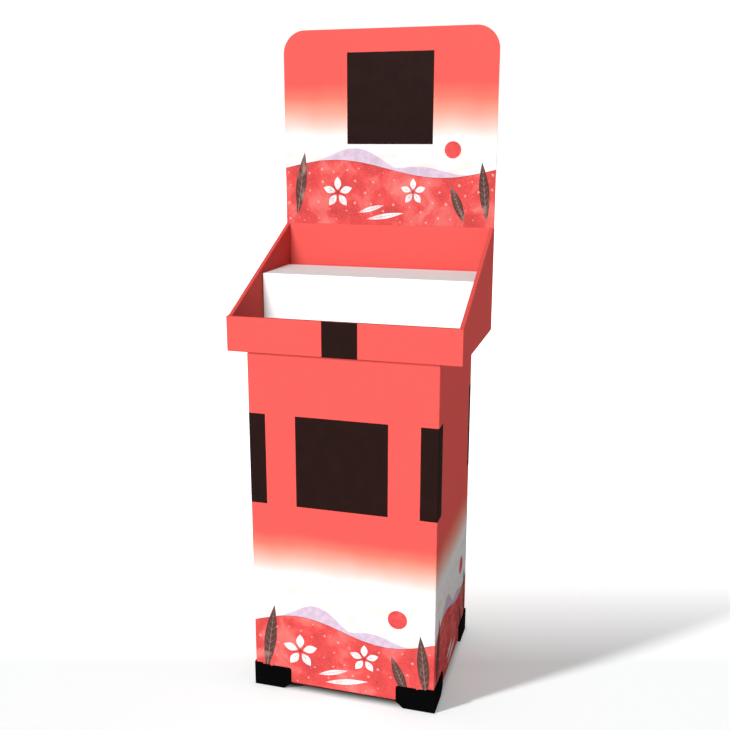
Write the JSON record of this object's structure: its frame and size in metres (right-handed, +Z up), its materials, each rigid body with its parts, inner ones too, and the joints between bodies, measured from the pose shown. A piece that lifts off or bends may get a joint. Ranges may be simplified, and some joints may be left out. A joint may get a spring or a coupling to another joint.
{
  "type": "cardboard display stand",
  "caption": "Floor display stand of folded corrugated board: printed column on corner feet, double-walled tray with sloped sides and step insert, header card behind.",
  "frame": {"origin": "on the floor under the middle of the column", "axes": "+Z up, -Y towards the customer in front of the tray, +X to the right seen from the front"},
  "size_m": [0.485, 0.366, 1.407],
  "materials": {
    "coral_board": "coral printed paper face on corrugated board, satin",
    "plain_board": "plain brown corrugated board, matt",
    "white_board": "white faced corrugated board, matt",
    "black_plastic": "moulded black plastic, fine texture",
    "rivet_plastic": "moulded natural plastic, smooth",
    "print_fade_upper": "printed paper, satin",
    "print_fade_lower": "printed paper, satin",
    "print_cream": "printed paper, satin",
    "print_red": "printed paper, satin",
    "print_white": "printed paper, satin",
    "print_brown": "printed paper, satin",
    "print_black": "printed paper, satin"
  },
  "bodies": {
    "root": {"column_sleeve": "coral_board", "tray": "coral_board", "header_card": "coral_board", "divider_long": "plain_board", "divider_cross": "plain_board", "riser": "white_board", "foot_front_left": "black_plastic", "foot_front_right": "black_plastic", "foot_rear_left": "black_plastic", "foot_rear_right": "black_plastic", "tray_rivets": "rivet_plastic", "column_print_fade_upper": "print_fade_upper", "column_print_fade_lower": "print_fade_lower", "column_print_cream": "print_cream", "column_print_red": "print_red", "column_print_white": "print_white", "column_print_brown": "print_brown", "column_print_black": "print_black", "header_print_fade_upper": "print_fade_upper", "header_print_fade_lower": "print_fade_lower", "header_print_cream": "print_cream", "header_print_red": "print_red", "header_print_white": "print_white", "header_print_brown": "print_brown", "header_print_black": "print_black", "tray_print_black": "print_black"}
  },
  "joints": []
}
